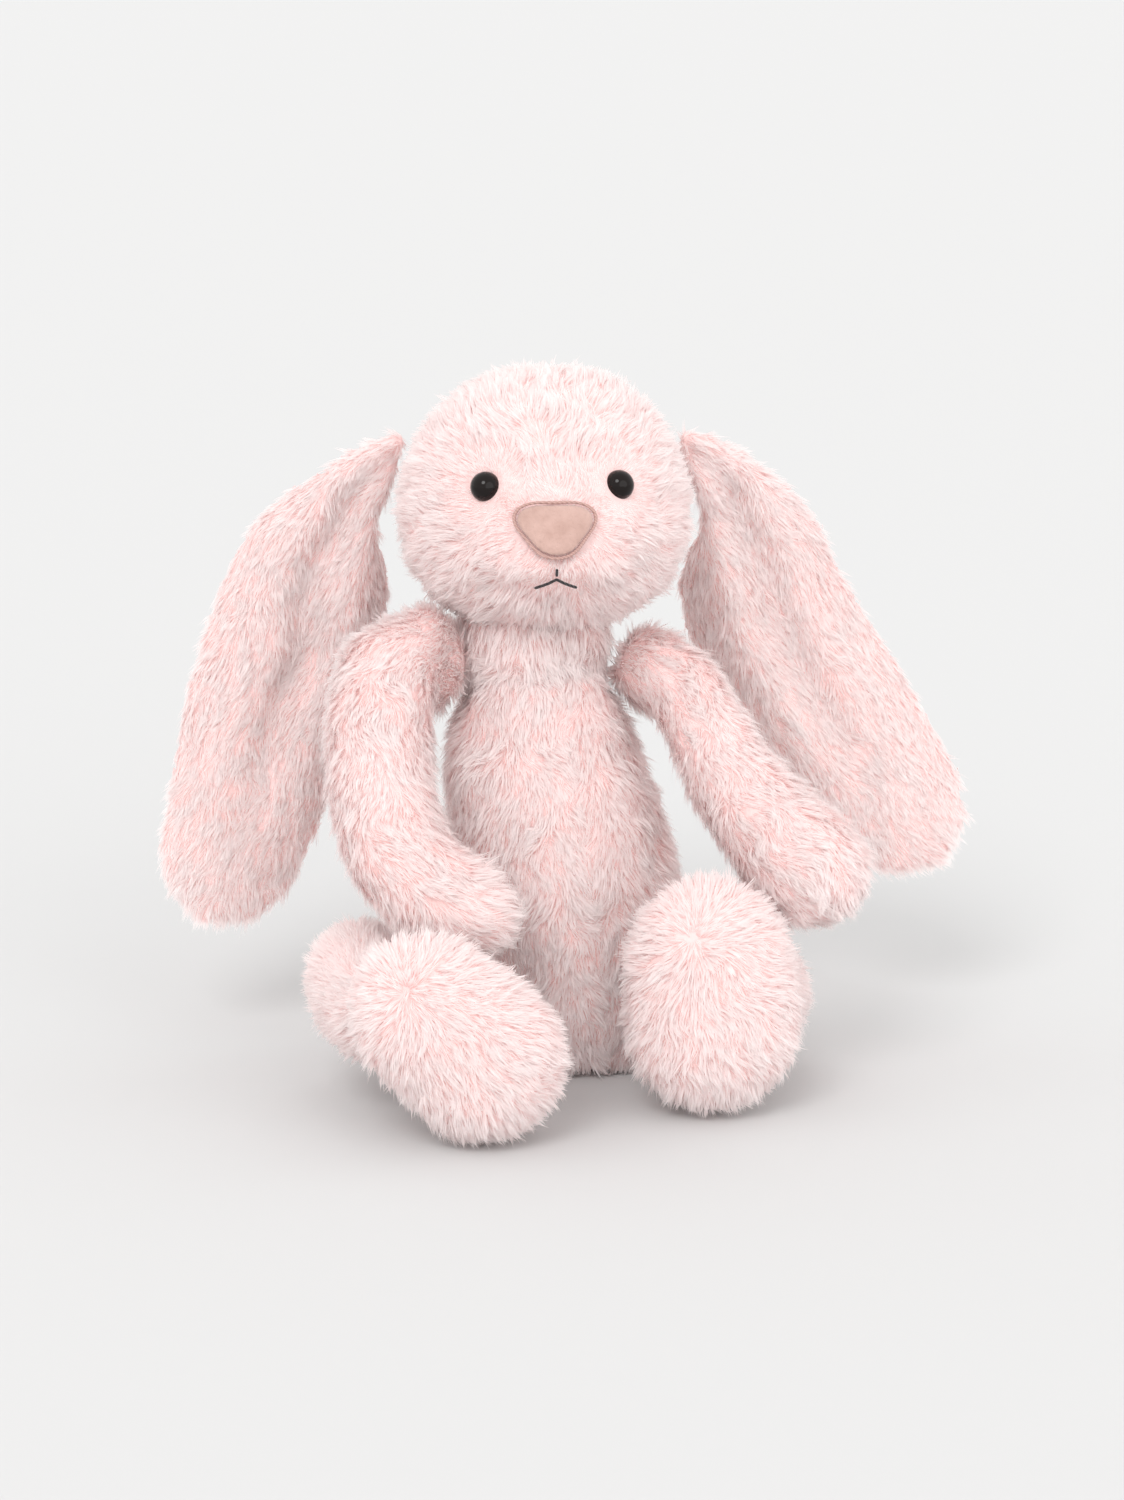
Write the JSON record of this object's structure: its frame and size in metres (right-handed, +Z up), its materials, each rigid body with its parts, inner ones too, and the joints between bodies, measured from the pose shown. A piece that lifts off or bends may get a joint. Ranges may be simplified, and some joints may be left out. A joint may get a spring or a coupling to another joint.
{
  "type": "stuffed bunny rabbit",
  "caption": "Seated plush bunny with long lop ears, round feet, bead-weighted seat, limbs that swing, head that turns and ears that lift.",
  "frame": {"origin": "middle of the flat seat, on the surface the toy sits on", "axes": "+Z up, the toy faces -Y, +X is towards the toy's own left hand"},
  "size_m": [0.2723, 0.1825, 0.2267],
  "materials": {
    "plush": "long soft pile plush, pale pink",
    "stuffing": "white polyester fibre",
    "nose_suede": "short napped suede cloth, dusty pink",
    "nose_thread": "satin stitched thread, dark pink",
    "mouth_thread": "black embroidery thread",
    "eye_plastic": "polished black-brown dome",
    "washer_plastic": "white moulded",
    "pouch_cloth": "plain woven lining cloth",
    "bead_plastic": "round plastic beads",
    "label_satin": "blank white satin ribbon"
  },
  "bodies": {
    "torso": {"torso_cover": "plush", "torso_filling": "stuffing", "bead_pouch": "pouch_cloth", "bead_filling": "bead_plastic", "care_label": "label_satin", "tail_cover": "plush", "tail_filling": "stuffing"},
    "neck": {"neck_filling": "stuffing"},
    "head": {"head_cover": "plush", "head_filling": "stuffing", "nose_patch": "nose_suede", "nose_edge_thread": "nose_thread", "mouth_thread": "mouth_thread", "right_eye": "eye_plastic", "left_eye": "eye_plastic", "right_eye_washer": "washer_plastic", "left_eye_washer": "washer_plastic"},
    "right_ear": {"right_ear_back": "plush", "right_ear_front": "plush"},
    "left_ear": {"left_ear_back": "plush", "left_ear_front": "plush"},
    "right_arm": {"right_arm_cover": "plush", "right_arm_filling": "stuffing"},
    "left_arm": {"left_arm_cover": "plush", "left_arm_filling": "stuffing"},
    "right_leg": {"right_leg_cover": "plush", "right_leg_filling": "stuffing", "right_foot_cover": "plush", "right_foot_filling": "stuffing"},
    "left_leg": {"left_leg_cover": "plush", "left_leg_filling": "stuffing", "left_foot_cover": "plush", "left_foot_filling": "stuffing"}
  },
  "joints": [
    {"name": "neck_turn", "type": "hinge", "parent": "torso", "child": "neck", "pos_m": [-0.016, 0.004, 0.139], "axis": [0, 0, 1], "range_deg": [-15, 15]},
    {"name": "head_nod", "type": "hinge", "parent": "neck", "child": "head", "pos_m": [-0.016, 0.004, 0.139], "axis": [1, 0, 0], "range_deg": [-10, 8]},
    {"name": "right_ear_lift", "type": "hinge", "parent": "head", "child": "right_ear", "pos_m": [-0.05762, 0.02004, 0.20085], "axis": [0, 1, 0], "range_deg": [0, 55]},
    {"name": "left_ear_lift", "type": "hinge", "parent": "head", "child": "left_ear", "pos_m": [0.03513, 0.01355, 0.20085], "axis": [0, -1, 0], "range_deg": [0, 55]},
    {"name": "right_arm_raise", "type": "hinge", "parent": "torso", "child": "right_arm", "pos_m": [-0.05085, 0, 0.129], "axis": [-1, 0, 0], "range_deg": [0, 55]},
    {"name": "left_arm_raise", "type": "hinge", "parent": "torso", "child": "left_arm", "pos_m": [0.02149, 0, 0.129], "axis": [-1, 0, 0], "range_deg": [0, 55]},
    {"name": "right_leg_swing", "type": "hinge", "parent": "torso", "child": "right_leg", "pos_m": [-0.05043, -0.006, 0.0215], "axis": [0, 0, -1], "range_deg": [0, 30]},
    {"name": "left_leg_roll", "type": "hinge", "parent": "torso", "child": "left_leg", "pos_m": [0.04669, -0.006, 0.0215], "axis": [0, -1, 0], "range_deg": [0, 15]}
  ]
}
